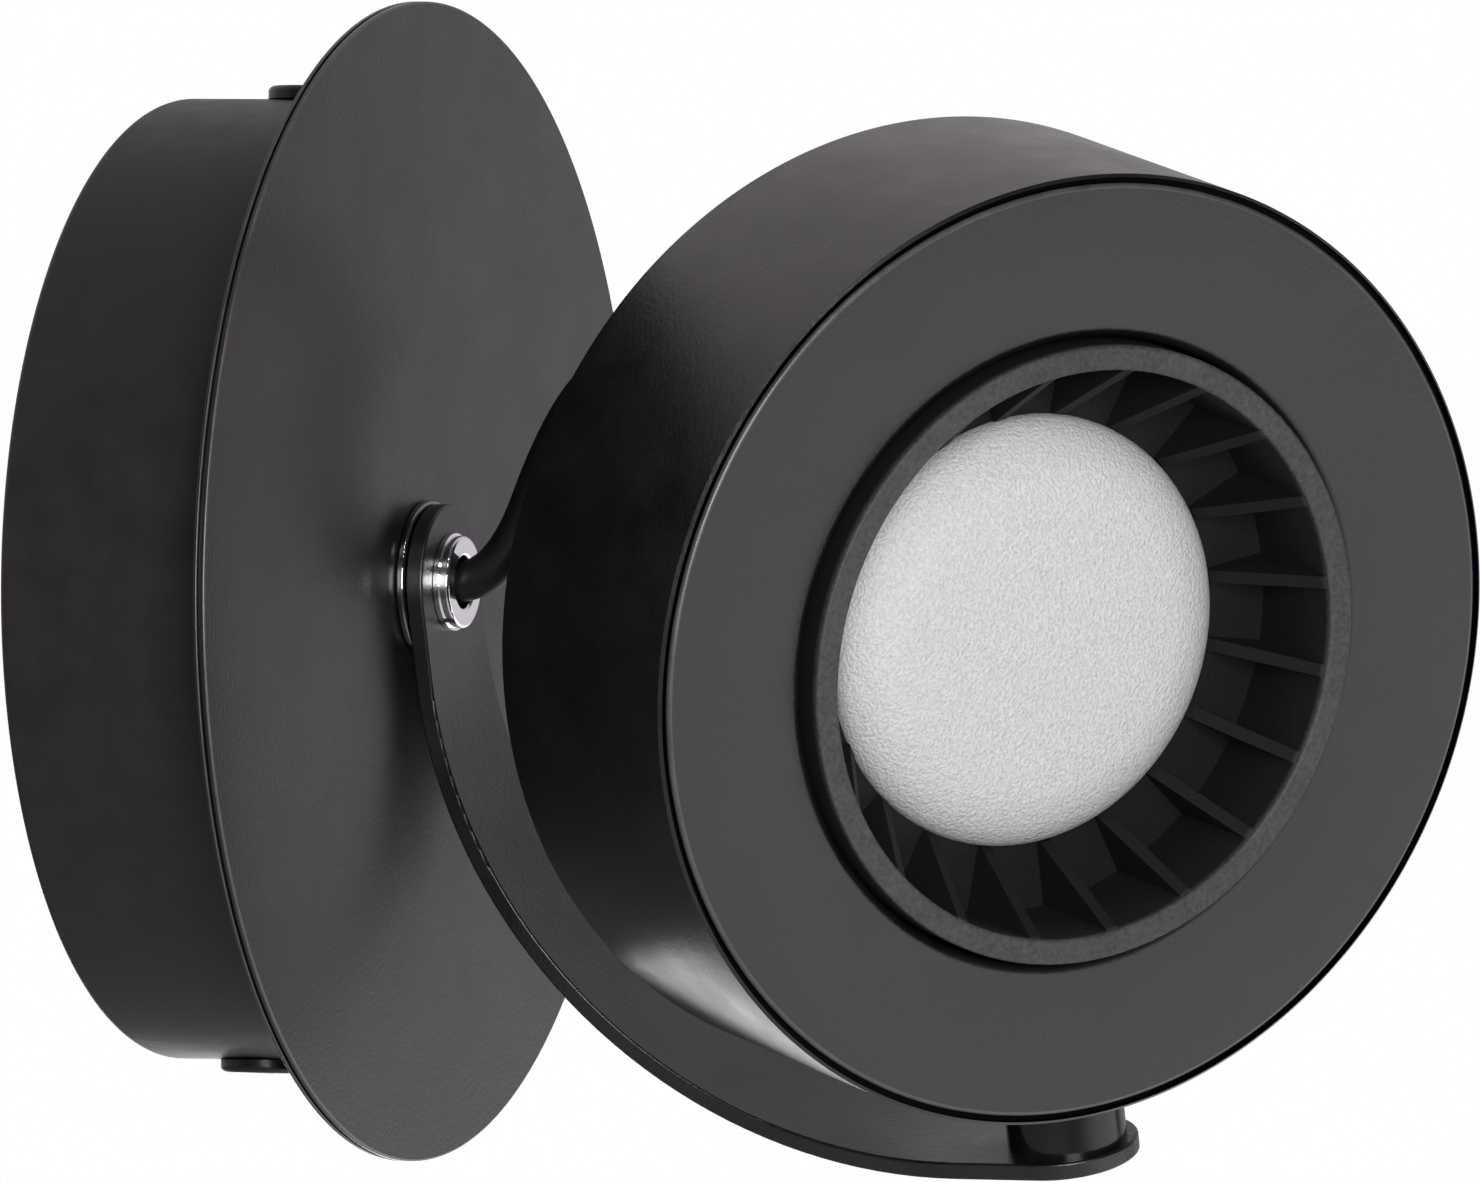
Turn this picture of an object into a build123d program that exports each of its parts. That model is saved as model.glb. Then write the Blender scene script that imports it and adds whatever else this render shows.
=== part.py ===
from build123d import *
from math import cos, pi, radians, sin, sqrt, tan
import os

os.makedirs("parts", exist_ok=True)

# A wall spotlight: a round base, a bent flat arm that swivels on it, and a drum-shaped head
# that turns on a post at the arm's lower end. The wall is the plane Y = 0, and the light
# stands out from it along -Y. The arm and the head are drawn swung to one side, in degrees.
arm_roll = 20.7
head_turn = 38.0

# Base cup and its cover plate
cup_radius = 38.5
cup_depth = 19.8
cup_wall = 1.0
cup_edge_round = 0.7
plate_radius = 46.35
plate_thickness = 1.0
plate_edge_round = 0.1
plate_groove_place = 0.3
plate_groove_width = 0.25
plate_groove_depth = 0.5

# Wall bracket: an upright strip with bent tabs, slots for the wall screws and a side wing
bracket_width = 12.0
bracket_thickness = 1.5
bracket_clearance = 0.5
bracket_bend_round = 1.0
tab_length = 14.5
slot_spacing = 40.0
slot_length = 14.0
slot_width = 4.6
wing_height = 28.0
wing_gap = 3.0

# Screws through the side of the cup into the bracket's tabs
cup_screw_radius = 2.0
cup_screw_length = 5.0
cup_screw_head_radius = 3.6
cup_screw_head_height = 1.05
upper_screw_distance = 10.2
lower_screw_distance = 8.0
screw_clearance = 0.05

# Hollow pivot bolt on the base's axis, and what is stacked on it
bolt_radius = 3.0
bolt_bore_radius = 2.1
bolt_head_radius = 3.7
bolt_head_height = 0.8
bolt_head_round = 0.25
bolt_tail = 0.6
pivot_clearance = 0.05
pivot_washer_radius = 3.9
pivot_washer_thickness = 0.4
spacer_radius = 6.5
spacer_thickness = 0.75
spacer_edge_round = 0.25
spring_washer_radius = 5.4
spring_washer_thickness = 0.6
spring_washer_height = 1.2
nut_across_flats = 10.0
nut_thickness = 2.5

# Arm: a flat strap bent through a quarter circle, with round ends
strap_width = 12.4
strap_thickness = 1.4
strap_end_margin = 0.02
strap_tip_margin = 0.85
strap_edge_round = 0.2
bend_start = 6.4
strap_drop = 47.75
post_reach = 70.5

# Post that is riveted into the arm, and the head's pivot on it
post_radius = 4.8
post_length = 3.9
spigot_radius = 3.0
post_bore_depth = 4.2
head_screw_radius = 2.0
head_screw_tip_gap = 0.3
head_screw_head_radius = 3.6
head_screw_head_height = 2.2
bush_radius = 3.8
bush_flange_radius = 4.6
bush_flange_height = 0.8
saddle_radius = 5.2
saddle_height = 1.5
thrust_washer_radius = 4.6
thrust_washer_thickness = 0.8
head_spring_radius = 4.2
head_spring_thickness = 0.5
head_spring_height = 0.9

# Head drum
head_radius = 38.4
head_depth = 24.3
head_front = 9.4
head_wall = 1.0
face_thickness = 1.2
drum_edge_round = 0.55
rim_width = 0.6
rim_groove_width = 0.65
rim_groove_depth = 0.7
disc_edge_round = 0.35
mouth_gap = 0.3
mouth_edge_round = 0.5

# Back cover with its standoffs and screws
cover_thickness = 1.2
cover_recess = 0.4
cover_clearance = 0.1
standoff_count = 4
standoff_start = 45.0
standoff_radius = 2.5
standoff_gap = 3.0
cover_screw_radius = 1.5
cover_screw_length = 7.0
cover_screw_head_radius = 2.6
cover_screw_head_height = 1.5
tapped_spare = 0.5

# Lamp module: ring with sloping ribs round a recessed diffuser
ring_radius = 25.0
ring_wall = 2.0
ring_proud = 1.65
ring_edge_round = 0.25
dish_depth = 10.0
floor_thickness = 1.5
rib_count = 20
rib_thickness = 1.0
rib_set_back = 0.5
rib_foot_height = 0.6
rib_foot_gap = 0.2
diffuser_radius = 17.4
diffuser_thickness = 1.2
diffuser_rise = 2.6
diffuser_seat_depth = 0.8
diffuser_clearance = 0.05
diffuser_ledge = 1.0

# Light source behind the diffuser
heat_sink_thickness = 3.8
heat_sink_step_height = 1.2
heat_sink_step_width = 2.0
heat_sink_screw_count = 3
heat_sink_screw_start = 30.0
heat_sink_screw_margin = 7.0
heat_sink_screw_length = 4.0
board_margin = 0.3
board_thickness = 1.5
reflector_foot_radius = 9.0
reflector_wall = 0.8
chip_length = 3.0
chip_width = 2.4
chip_height = 0.8
outer_chip_count = 8
chip_margin = 0.9
inner_chip_count = 4
chip_row_gap = 0.7
board_screw_gap = 0.3
board_screw_radius = 0.95
board_screw_length = 4.0
board_screw_head_radius = 1.3
board_screw_head_height = 1.0

# Flex, its grommet in the back cover and the ties that hold it. The bends are given as distances
# out from the wall, down along the arm and to its side
flex_radius = 1.65
flex_clearance = 0.06
flex_bends = [(27.4, 0.0, 0.0), (31.6, -11.5, -5.5), (32.4, -13.4, -16.8), (41.3, -23.3, -23.0)]
flex_lead_in = -23.0
flex_run_share = 0.45
flex_exit_run = 4.0
grommet_radius = 4.0
grommet_waist = 2.9
grommet_flange = 0.8
tie_radius = 2.9
tie_width = 1.8
tie_gap = 0.1

# Leads of the module
lead_radius = 0.6
lead_spread = 0.9
lead_bend_radius = 1.3
lead_landing_gap = 0.3
lead_level = 1.5
lead_hole_play = 0.3

# Terminal block on the bracket's wing
terminal_pitch = 8.0
terminal_poles = 3
terminal_width = 16.0
terminal_height = 11.0
terminal_margin = 2.0
clamp_radius = 1.9
clamp_bore_radius = 1.2
clamp_length = 13.0
clamp_screw_radius = 1.3
clamp_screw_spread = 8.0
clamp_screw_recess = 0.6
block_screw_radius = 1.45
block_screw_head_radius = 2.5
block_screw_head_height = 1.4

# Earth screw on the bracket
earth_screw_drop = 8.0
earth_screw_radius = 1.95
earth_head_radius = 3.3
earth_head_height = 1.8
earth_washer_side = 7.6
earth_washer_thickness = 0.8

# Driver in the base
driver_width = 18.0
driver_height = 38.0
driver_depth = 13.0
driver_wall = 1.2
driver_gap = 2.33
driver_pad_thickness = 1.0
driver_pad_margin = 1.0
driver_fit = 0.1
driver_board_thickness = 1.6
driver_board_rest = 2.4
rest_radius = 1.1
transformer_width = 8.0
transformer_length = 9.0
transformer_height = 5.0
transformer_place = 8.5
capacitor_radius = 2.4
capacitor_length = 8.0
capacitor_place = 10.5
choke_radius = 3.2
choke_height = 4.6
choke_place = 1.5

# Leads in the base
wire_level = 7.6
wire_radius = 0.9
wire_hole_play = 0.1
wire_entry = 2.0
tail_bend_radius = 4.3
base_tie_gap = 2.6

# Levels along the post, measured down from the base's axis
strap_inside = strap_drop - strap_thickness
post_top = strap_inside - post_length
post_bore_end = post_top + post_bore_depth
bush_face = post_top - pivot_clearance
drum_bottom = bush_face - bush_flange_height
drum_inside = drum_bottom - head_wall
head_drop = drum_bottom - head_radius
saddle_top = drum_inside - saddle_height
thrust_back = saddle_top - pivot_clearance
thrust_top = thrust_back - thrust_washer_thickness
head_spring_top = thrust_top - head_spring_height

# Directions: straight out from the wall, down along the arm, to the arm's side,
# where the head aims, and across the head
origin = Vector(0, 0, 0)
out = Vector(0, -1, 0)
down = Vector(sin(radians(arm_roll)), 0, -cos(radians(arm_roll)))
side = down.cross(out)
aim = out * cos(radians(head_turn)) + side * sin(radians(head_turn))
across = aim.cross(down)
head_centre = out * post_reach + down * head_drop

# Levels along the base's axis, measured from the wall
cup_floor = cup_depth - cup_wall
plate_front = cup_depth + plate_thickness
spacer_front = plate_front + spacer_thickness
strap_back = spacer_front + pivot_clearance
strap_front = strap_back + strap_thickness
washer_back = strap_front + pivot_clearance
bolt_seat = washer_back + pivot_washer_thickness
bolt_front = bolt_seat + bolt_head_height
lock_nut_front = cup_floor - spring_washer_height
jam_nut_front = lock_nut_front - nut_thickness
bolt_end = jam_nut_front - nut_thickness - bolt_tail
driver_front = cup_floor - driver_pad_thickness
driver_back = driver_front - driver_depth
terminal_front = bracket_thickness + terminal_height

# Places inside the cup
cup_bore = cup_radius - cup_wall
wing_reach = sqrt((cup_bore - wing_gap) ** 2 - (wing_height / 2) ** 2)
terminal_offset = wing_reach - terminal_margin - terminal_width / 2
driver_offset = sqrt((cup_bore - driver_gap) ** 2 - (driver_height / 2) ** 2) - driver_width / 2
driver_left = driver_offset - driver_width / 2
base_tie_place = driver_left - base_tie_gap - tie_width

# Levels along the head's axis, measured from the post's axis, positive towards the front
face_inside = head_front - face_thickness
head_rear = head_front - head_depth
cover_outside = head_rear + cover_recess
cover_inside = cover_outside + cover_thickness
head_bore = head_radius - head_wall
standoff_circle = head_bore - standoff_gap - standoff_radius
mouth_radius = ring_radius + mouth_gap
ring_front = head_front + ring_proud
ring_bore = ring_radius - ring_wall
floor_front = ring_front - dish_depth
floor_back = floor_front - floor_thickness
sink_front = cover_inside + heat_sink_thickness
board_front = sink_front + board_thickness
reflector_mouth = diffuser_radius - diffuser_ledge
reflector_slope = (reflector_mouth - reflector_foot_radius) / (floor_back - board_front)
reflector_heel = reflector_foot_radius + reflector_wall
heat_sink_screw_circle = ring_radius - heat_sink_screw_margin
outer_chip_circle = reflector_foot_radius - chip_margin - chip_length / 2
inner_chip_circle = outer_chip_circle - chip_length - chip_row_gap
board_screw_circle = (reflector_heel + reflector_slope * board_screw_head_height + board_screw_gap
                      + board_screw_head_radius)
board_radius = board_screw_circle + board_screw_head_radius + board_margin
lead_landing = reflector_heel + reflector_slope * lead_level + lead_landing_gap + lead_radius
grommet_height = (ring_radius + head_bore) / 2
grommet_outside = cover_outside - grommet_flange
grommet_inside = cover_inside + grommet_flange
tie_back = grommet_inside + tie_gap
flex_end = tie_back + tie_width + tie_gap

# Sections through the three axes: the first coordinate is the radius, the second runs along the axis
base_section = Plane(origin=origin, x_dir=(1, 0, 0), z_dir=(0, 0, -1))
base_axis = Axis(origin, out)
arm_section = Plane(origin=origin, x_dir=out, z_dir=side * -1)
arm_axis = Axis(origin, down)
head_section = Plane(origin=head_centre, x_dir=across, z_dir=across.cross(aim))
head_axis = Axis(head_centre, aim)
post_section = Plane(origin=out * post_reach, x_dir=aim, z_dir=aim.cross(down))
post_axis = Axis(out * post_reach, down)


def wall_plane(distance, right=0, up=0):
    return Plane(origin=Vector(right, -distance, up), x_dir=(1, 0, 0), z_dir=out)


def head_point(right, up, forward):
    return head_centre + across * right - down * up + aim * forward


def head_plane(distance):
    return Plane(origin=head_point(0, 0, distance), x_dir=across, z_dir=aim)


def post_plane(drop):
    return Plane(origin=out * post_reach + down * drop, x_dir=aim, z_dir=down)


def arm_point(reach, drop, aside):
    return out * reach + down * drop + side * aside


def polar(radius, count, start):
    return [(radius * cos(radians(start + 360 * i / count)), radius * sin(radians(start + 360 * i / count)))
            for i in range(count)]


def add_screw(seat, head_radius_of_screw, head_height, shank_radius, shank_length):
    # A low-head screw in the piece in hand: the head stands on the seat plane, the shank goes below it
    section = Plane(origin=seat.origin, x_dir=seat.x_dir, z_dir=seat.y_dir * -1)
    rim = head_height / 2
    with BuildSketch(section) as outline:
        with BuildLine():
            Polyline((0, head_height), (0, -shank_length), (shank_radius, -shank_length), (shank_radius, 0),
                     (head_radius_of_screw, 0), (head_radius_of_screw, rim))
            TangentArc((head_radius_of_screw, rim), (head_radius_of_screw - rim, head_height), tangent=(0, 1))
            Line((head_radius_of_screw - rim, head_height), (0, head_height))
        make_face()
    revolve(outline.sketch, axis=Axis(seat.origin, seat.z_dir))
    with BuildSketch(seat.offset(head_height)) as recess:
        Rectangle(head_radius_of_screw, head_radius_of_screw / 4)
        Rectangle(head_radius_of_screw / 4, head_radius_of_screw)
    extrude(recess.sketch, amount=-rim, mode=Mode.SUBTRACT)


def add_cone_spring(section, axis, level, onward, radius, bore, thickness, height):
    # A conical spring washer: wide end at the level, narrow end one height further, onward or back
    with BuildSketch(section) as outline:
        with BuildLine():
            Polyline((radius, level), (radius, level + onward * thickness), (bore, level + onward * height),
                     (bore, level + onward * (height - thickness)), close=True)
        make_face()
    revolve(outline.sketch, axis=axis)


def add_ring(plane, radius, bore, thickness):
    with BuildSketch(plane) as outline:
        Circle(radius)
        Circle(bore, mode=Mode.SUBTRACT)
    extrude(outline.sketch, amount=thickness)


def add_groove(plane, radius, width, depth):
    # A ring-shaped cut, from its outer radius inwards
    with BuildSketch(plane) as outline:
        Circle(radius)
        Circle(radius - width, mode=Mode.SUBTRACT)
    extrude(outline.sketch, amount=depth, mode=Mode.SUBTRACT)


def add_tube(points, radii, radius):
    # A round lead along straight runs joined by tangent arcs
    with BuildLine():
        route = FilletPolyline(*points, radius=radii)
    with BuildSketch(Plane(origin=route @ 0, z_dir=route % 0)) as section:
        Circle(radius)
    sweep(section.sketch, path=route)
    return route.length


def finish(piece, label):
    piece.part.label = label
    export_step(piece.part, f"parts/{label}.step")


# Base: wall bracket
bracket_end = sqrt((cup_bore - bracket_clearance) ** 2 - (bracket_width / 2) ** 2)
cup_screw_seats = [
    Plane(origin=(0, -upper_screw_distance, cup_radius), x_dir=(1, 0, 0), z_dir=(0, 0, 1)),
    Plane(origin=(0, -lower_screw_distance, -cup_radius), x_dir=(1, 0, 0), z_dir=(0, 0, -1)),
]
block_screw_up = terminal_pitch / 2
with BuildPart() as wall_bracket:
    with BuildSketch(wall_plane(0)):
        Rectangle(bracket_width, 2 * bracket_end)
        with Locations((-wing_reach / 2, 0)):
            Rectangle(wing_reach, wing_height)
    extrude(amount=bracket_thickness)
    with BuildSketch(wall_plane(0)):
        with Locations((0, bracket_end - bracket_thickness / 2), (0, bracket_thickness / 2 - bracket_end)):
            Rectangle(bracket_width, bracket_thickness)
    extrude(amount=tab_length)
    with BuildSketch(wall_plane(0)):
        with Locations((0, slot_spacing / 2), (0, -slot_spacing / 2)):
            SlotOverall(slot_length, slot_width, rotation=90)
        with Locations((0, -earth_screw_drop)):
            Circle(earth_screw_radius + screw_clearance)
        with Locations((-terminal_offset, block_screw_up)):
            Circle(block_screw_radius + screw_clearance)
    extrude(amount=bracket_thickness, mode=Mode.SUBTRACT)
    with BuildSketch(*cup_screw_seats):
        Circle(cup_screw_radius + screw_clearance)
    extrude(amount=bracket_end - bracket_thickness - cup_radius, mode=Mode.SUBTRACT)
    back_edges = wall_bracket.edges().filter_by(Axis.X).group_by(Axis.Y)[-1].group_by(Axis.Z)
    fillet(back_edges[0] + back_edges[-1], radius=bracket_bend_round)
finish(wall_bracket, "wall_bracket")

# Base: cup, plate and the screws through the cup's side
with BuildPart() as base_cup:
    with BuildSketch(wall_plane(0)):
        Circle(cup_radius)
    extrude(amount=cup_depth)
    with BuildSketch(wall_plane(0)):
        Circle(cup_bore)
    extrude(amount=cup_floor, mode=Mode.SUBTRACT)
    with BuildSketch(wall_plane(cup_floor)):
        Circle(bolt_radius + screw_clearance)
    extrude(amount=cup_wall, mode=Mode.SUBTRACT)
    with BuildSketch(*cup_screw_seats):
        Circle(cup_screw_radius + 2 * screw_clearance)
    extrude(amount=-2 * cup_wall, mode=Mode.SUBTRACT)
    wall_edges = base_cup.edges().filter_by(GeomType.CIRCLE).group_by(base_axis)[0]
    fillet(wall_edges.sort_by(SortBy.RADIUS)[-1], radius=cup_edge_round)
finish(base_cup, "base_cup")

with BuildPart() as front_plate:
    with BuildSketch(wall_plane(cup_depth)):
        Circle(plate_radius)
        Circle(bolt_radius + screw_clearance, mode=Mode.SUBTRACT)
    extrude(amount=plate_thickness)
    groove_back = cup_depth + plate_groove_place
    add_groove(wall_plane(groove_back), plate_radius, plate_groove_depth, plate_groove_width)
    rim_edges = front_plate.edges().filter_by(GeomType.CIRCLE).group_by(SortBy.RADIUS)[-1]
    fillet(rim_edges, radius=plate_edge_round)
finish(front_plate, "front_plate")

with BuildPart() as cup_screws:
    for seat in cup_screw_seats:
        add_screw(seat, cup_screw_head_radius, cup_screw_head_height, cup_screw_radius, cup_screw_length)
finish(cup_screws, "cup_screws")

# Base: hollow pivot bolt and what is stacked on it
with BuildPart() as pivot_bolt:
    with BuildSketch(base_section):
        with BuildLine():
            Polyline((bolt_bore_radius, bolt_end), (bolt_radius, bolt_end), (bolt_radius, bolt_seat),
                     (bolt_head_radius, bolt_seat), (bolt_head_radius, bolt_front),
                     (bolt_bore_radius, bolt_front), close=True)
        make_face()
    revolve(axis=base_axis)
    fillet(pivot_bolt.edges().filter_by(GeomType.CIRCLE).group_by(base_axis)[-1], radius=bolt_head_round)
finish(pivot_bolt, "pivot_bolt")

with BuildPart() as pivot_washer:
    add_ring(wall_plane(washer_back), pivot_washer_radius, bolt_radius + screw_clearance,
             pivot_washer_thickness)
finish(pivot_washer, "pivot_washer")

with BuildPart() as pivot_spacer:
    add_ring(wall_plane(plate_front), spacer_radius, bolt_radius + screw_clearance, spacer_thickness)
    spacer_edges = pivot_spacer.edges().filter_by(GeomType.CIRCLE).group_by(SortBy.RADIUS)[-1]
    fillet(spacer_edges, radius=spacer_edge_round)
finish(pivot_spacer, "pivot_spacer")

with BuildPart() as spring_washer:
    add_cone_spring(base_section, base_axis, cup_floor, -1, spring_washer_radius,
                    bolt_radius + screw_clearance, spring_washer_thickness, spring_washer_height)
finish(spring_washer, "spring_washer")

for label, front in (("lock_nut", lock_nut_front), ("jam_nut", jam_nut_front)):
    with BuildPart() as nut:
        with BuildSketch(wall_plane(front)):
            RegularPolygon(radius=nut_across_flats / 2, side_count=6, major_radius=False)
            Circle(bolt_radius + screw_clearance, mode=Mode.SUBTRACT)
        extrude(amount=-nut_thickness)
    finish(nut, label)

# Base: terminal block with its clamps and screws
pole_heights = [terminal_pitch * (i - (terminal_poles - 1) / 2) for i in range(terminal_poles)]
terminal_left = -terminal_offset - terminal_width / 2
terminal_right = -terminal_offset + terminal_width / 2
clamp_left = -terminal_offset - clamp_length / 2
clamp_screw_places = [(-terminal_offset + shift, up) for up in pole_heights
                      for shift in (-clamp_screw_spread / 2, clamp_screw_spread / 2)]
clamp_screw_tip = wire_level + wire_radius + screw_clearance
block_screw_seat = terminal_front - block_screw_head_height


def pole_planes(right):
    return [Plane(origin=Vector(right, -wire_level, up), x_dir=(0, 0, 1), z_dir=(1, 0, 0))
            for up in pole_heights]


with BuildPart() as terminal_block:
    with BuildSketch(wall_plane(bracket_thickness, -terminal_offset)):
        Rectangle(terminal_width, terminal_poles * terminal_pitch)
    extrude(amount=terminal_height)
    with BuildSketch(*pole_planes(terminal_left)):
        Circle(clamp_radius + screw_clearance)
    extrude(amount=terminal_width, mode=Mode.SUBTRACT)
    with BuildSketch(wall_plane(terminal_front)):
        with Locations(*clamp_screw_places):
            Circle(clamp_screw_radius + screw_clearance)
    extrude(amount=wire_level - terminal_front, mode=Mode.SUBTRACT)
    with BuildSketch(wall_plane(terminal_front, -terminal_offset, block_screw_up)):
        Circle(block_screw_radius + screw_clearance)
    extrude(amount=-terminal_height, mode=Mode.SUBTRACT)
    with BuildSketch(wall_plane(terminal_front, -terminal_offset, block_screw_up)):
        Circle(block_screw_head_radius + screw_clearance)
    extrude(amount=-block_screw_head_height, mode=Mode.SUBTRACT)
finish(terminal_block, "terminal_block")

with BuildPart() as terminal_clamps:
    with BuildSketch(*pole_planes(clamp_left)):
        Circle(clamp_radius)
        Circle(clamp_bore_radius, mode=Mode.SUBTRACT)
    extrude(amount=clamp_length)
    with BuildSketch(wall_plane(terminal_front)):
        with Locations(*clamp_screw_places):
            Circle(clamp_screw_radius + screw_clearance)
    extrude(amount=wire_level - terminal_front, mode=Mode.SUBTRACT)
finish(terminal_clamps, "terminal_clamps")

with BuildPart() as terminal_screws:
    with BuildSketch(wall_plane(clamp_screw_tip)):
        with Locations(*clamp_screw_places):
            Circle(clamp_screw_radius)
    extrude(amount=terminal_front - clamp_screw_recess - clamp_screw_tip)
    with BuildSketch(wall_plane(terminal_front - clamp_screw_recess)):
        with Locations(*clamp_screw_places):
            Rectangle(2 * clamp_screw_radius, clamp_screw_radius / 2)
    extrude(amount=-clamp_screw_radius / 2, mode=Mode.SUBTRACT)
finish(terminal_screws, "terminal_screws")

with BuildPart() as block_screw:
    add_screw(wall_plane(block_screw_seat, -terminal_offset, block_screw_up), block_screw_head_radius,
              block_screw_head_height, block_screw_radius, block_screw_seat)
finish(block_screw, "block_screw")

# Base: earth screw with its square washer
earth_seat = bracket_thickness + earth_washer_thickness
with BuildPart() as earth_washer:
    with BuildSketch(wall_plane(bracket_thickness, 0, -earth_screw_drop)):
        Rectangle(earth_washer_side, earth_washer_side)
        Circle(earth_screw_radius + screw_clearance, mode=Mode.SUBTRACT)
    extrude(amount=earth_washer_thickness)
finish(earth_washer, "earth_washer")

with BuildPart() as earth_screw:
    add_screw(wall_plane(earth_seat, 0, -earth_screw_drop), earth_head_radius, earth_head_height,
              earth_screw_radius, earth_seat)
finish(earth_screw, "earth_screw")

# Base: driver, stuck to the cup's floor with a foam pad
case_width = driver_width - 2 * driver_wall
case_height = driver_height - 2 * driver_wall
board_width = case_width - 2 * driver_fit
board_height = case_height - 2 * driver_fit
case_floor = driver_front - driver_wall
driver_board_front = case_floor - driver_board_rest
driver_board_back = driver_board_front - driver_board_thickness
rest_places = [(right * (board_width / 2 - 2 * rest_radius), up * (board_height / 2 - 2 * rest_radius))
               for right in (-1, 1) for up in (-1, 1)]
lead_heights = (pole_heights[0], pole_heights[-1])


def side_planes(heights):
    return [Plane(origin=Vector(driver_left, -wire_level, up), x_dir=(0, 0, 1), z_dir=(1, 0, 0))
            for up in heights]


with BuildPart() as driver_pad:
    with BuildSketch(wall_plane(driver_front, driver_offset)):
        Rectangle(driver_width - 2 * driver_pad_margin, driver_height - 2 * driver_pad_margin)
    extrude(amount=driver_pad_thickness)
finish(driver_pad, "driver_pad")

with BuildPart() as driver_case:
    with BuildSketch(wall_plane(driver_back, driver_offset)):
        Rectangle(driver_width, driver_height)
    extrude(amount=driver_depth)
    with BuildSketch(wall_plane(driver_back, driver_offset)):
        Rectangle(case_width, case_height)
    extrude(amount=driver_depth - driver_wall, mode=Mode.SUBTRACT)
    with BuildSketch(wall_plane(case_floor, driver_offset)):
        with Locations(*rest_places):
            Circle(rest_radius)
    extrude(amount=-driver_board_rest)
    with BuildSketch(*side_planes(lead_heights)):
        Circle(wire_radius + wire_hole_play)
    extrude(amount=driver_wall, mode=Mode.SUBTRACT)
    with BuildSketch(*side_planes([0])):
        Circle(flex_radius + wire_hole_play)
    extrude(amount=driver_wall, mode=Mode.SUBTRACT)
finish(driver_case, "driver_case")

with BuildPart() as driver_cover:
    with BuildSketch(wall_plane(driver_back, driver_offset)):
        Rectangle(board_width, board_height)
    extrude(amount=driver_wall)
finish(driver_cover, "driver_cover")

with BuildPart() as driver_board:
    with BuildSketch(wall_plane(driver_board_back, driver_offset)):
        Rectangle(board_width, board_height)
    extrude(amount=driver_board_thickness)
finish(driver_board, "driver_board")

with BuildPart() as driver_parts:
    with BuildSketch(wall_plane(driver_board_back, driver_offset, transformer_place)):
        Rectangle(transformer_width, transformer_length)
    extrude(amount=-transformer_height)
    with BuildSketch(wall_plane(driver_board_back, driver_offset, -choke_place)):
        Circle(choke_radius)
    extrude(amount=-choke_height)
    capacitor_end = Vector(driver_offset, capacitor_radius - driver_board_back, -capacitor_place)
    with BuildSketch(Plane(origin=capacitor_end, x_dir=(1, 0, 0), z_dir=(0, 0, 1))):
        Circle(capacitor_radius)
    extrude(amount=capacitor_length / 2, both=True)
finish(driver_parts, "driver_parts")

# Base: leads from the block to the driver, the earth lead, and the flex's end with its tie
with BuildPart() as mains_leads:
    for up in lead_heights:
        with BuildSketch(Plane(origin=Vector(clamp_left, -wire_level, up), x_dir=(0, 0, 1), z_dir=(1, 0, 0))):
            Circle(wire_radius)
        extrude(amount=driver_left + driver_wall + wire_entry - clamp_left)
finish(mains_leads, "mains_leads")

earth_wire_level = bracket_thickness + wire_radius + screw_clearance
earth_wire_stop = -earth_washer_side / 2 - wire_radius
earth_points = [
    Vector(clamp_left, -wire_level, 0),
    Vector(terminal_right + 2 * wire_radius, -wire_level, 0),
    Vector(earth_wire_stop - 2 * wire_radius, -(wire_level + earth_wire_level) / 2, -earth_screw_drop / 2),
    Vector(earth_wire_stop, -earth_wire_level, -earth_screw_drop),
]
with BuildPart() as earth_lead:
    add_tube(earth_points, 2 * wire_radius, wire_radius)
finish(earth_lead, "earth_lead")

with BuildPart() as flex_tail:
    tail_points = [Vector(0, -bolt_end, 0), Vector(0, -wire_level, 0),
                   Vector(driver_left + driver_wall, -wire_level, 0)]
    add_tube(tail_points, tail_bend_radius, flex_radius)
finish(flex_tail, "flex_tail")

with BuildPart() as base_tie:
    add_ring(Plane(origin=Vector(base_tie_place, -wire_level, 0), x_dir=(0, 0, 1), z_dir=(1, 0, 0)),
             tie_radius, flex_radius + flex_clearance, tie_width)
finish(base_tie, "base_tie")

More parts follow.
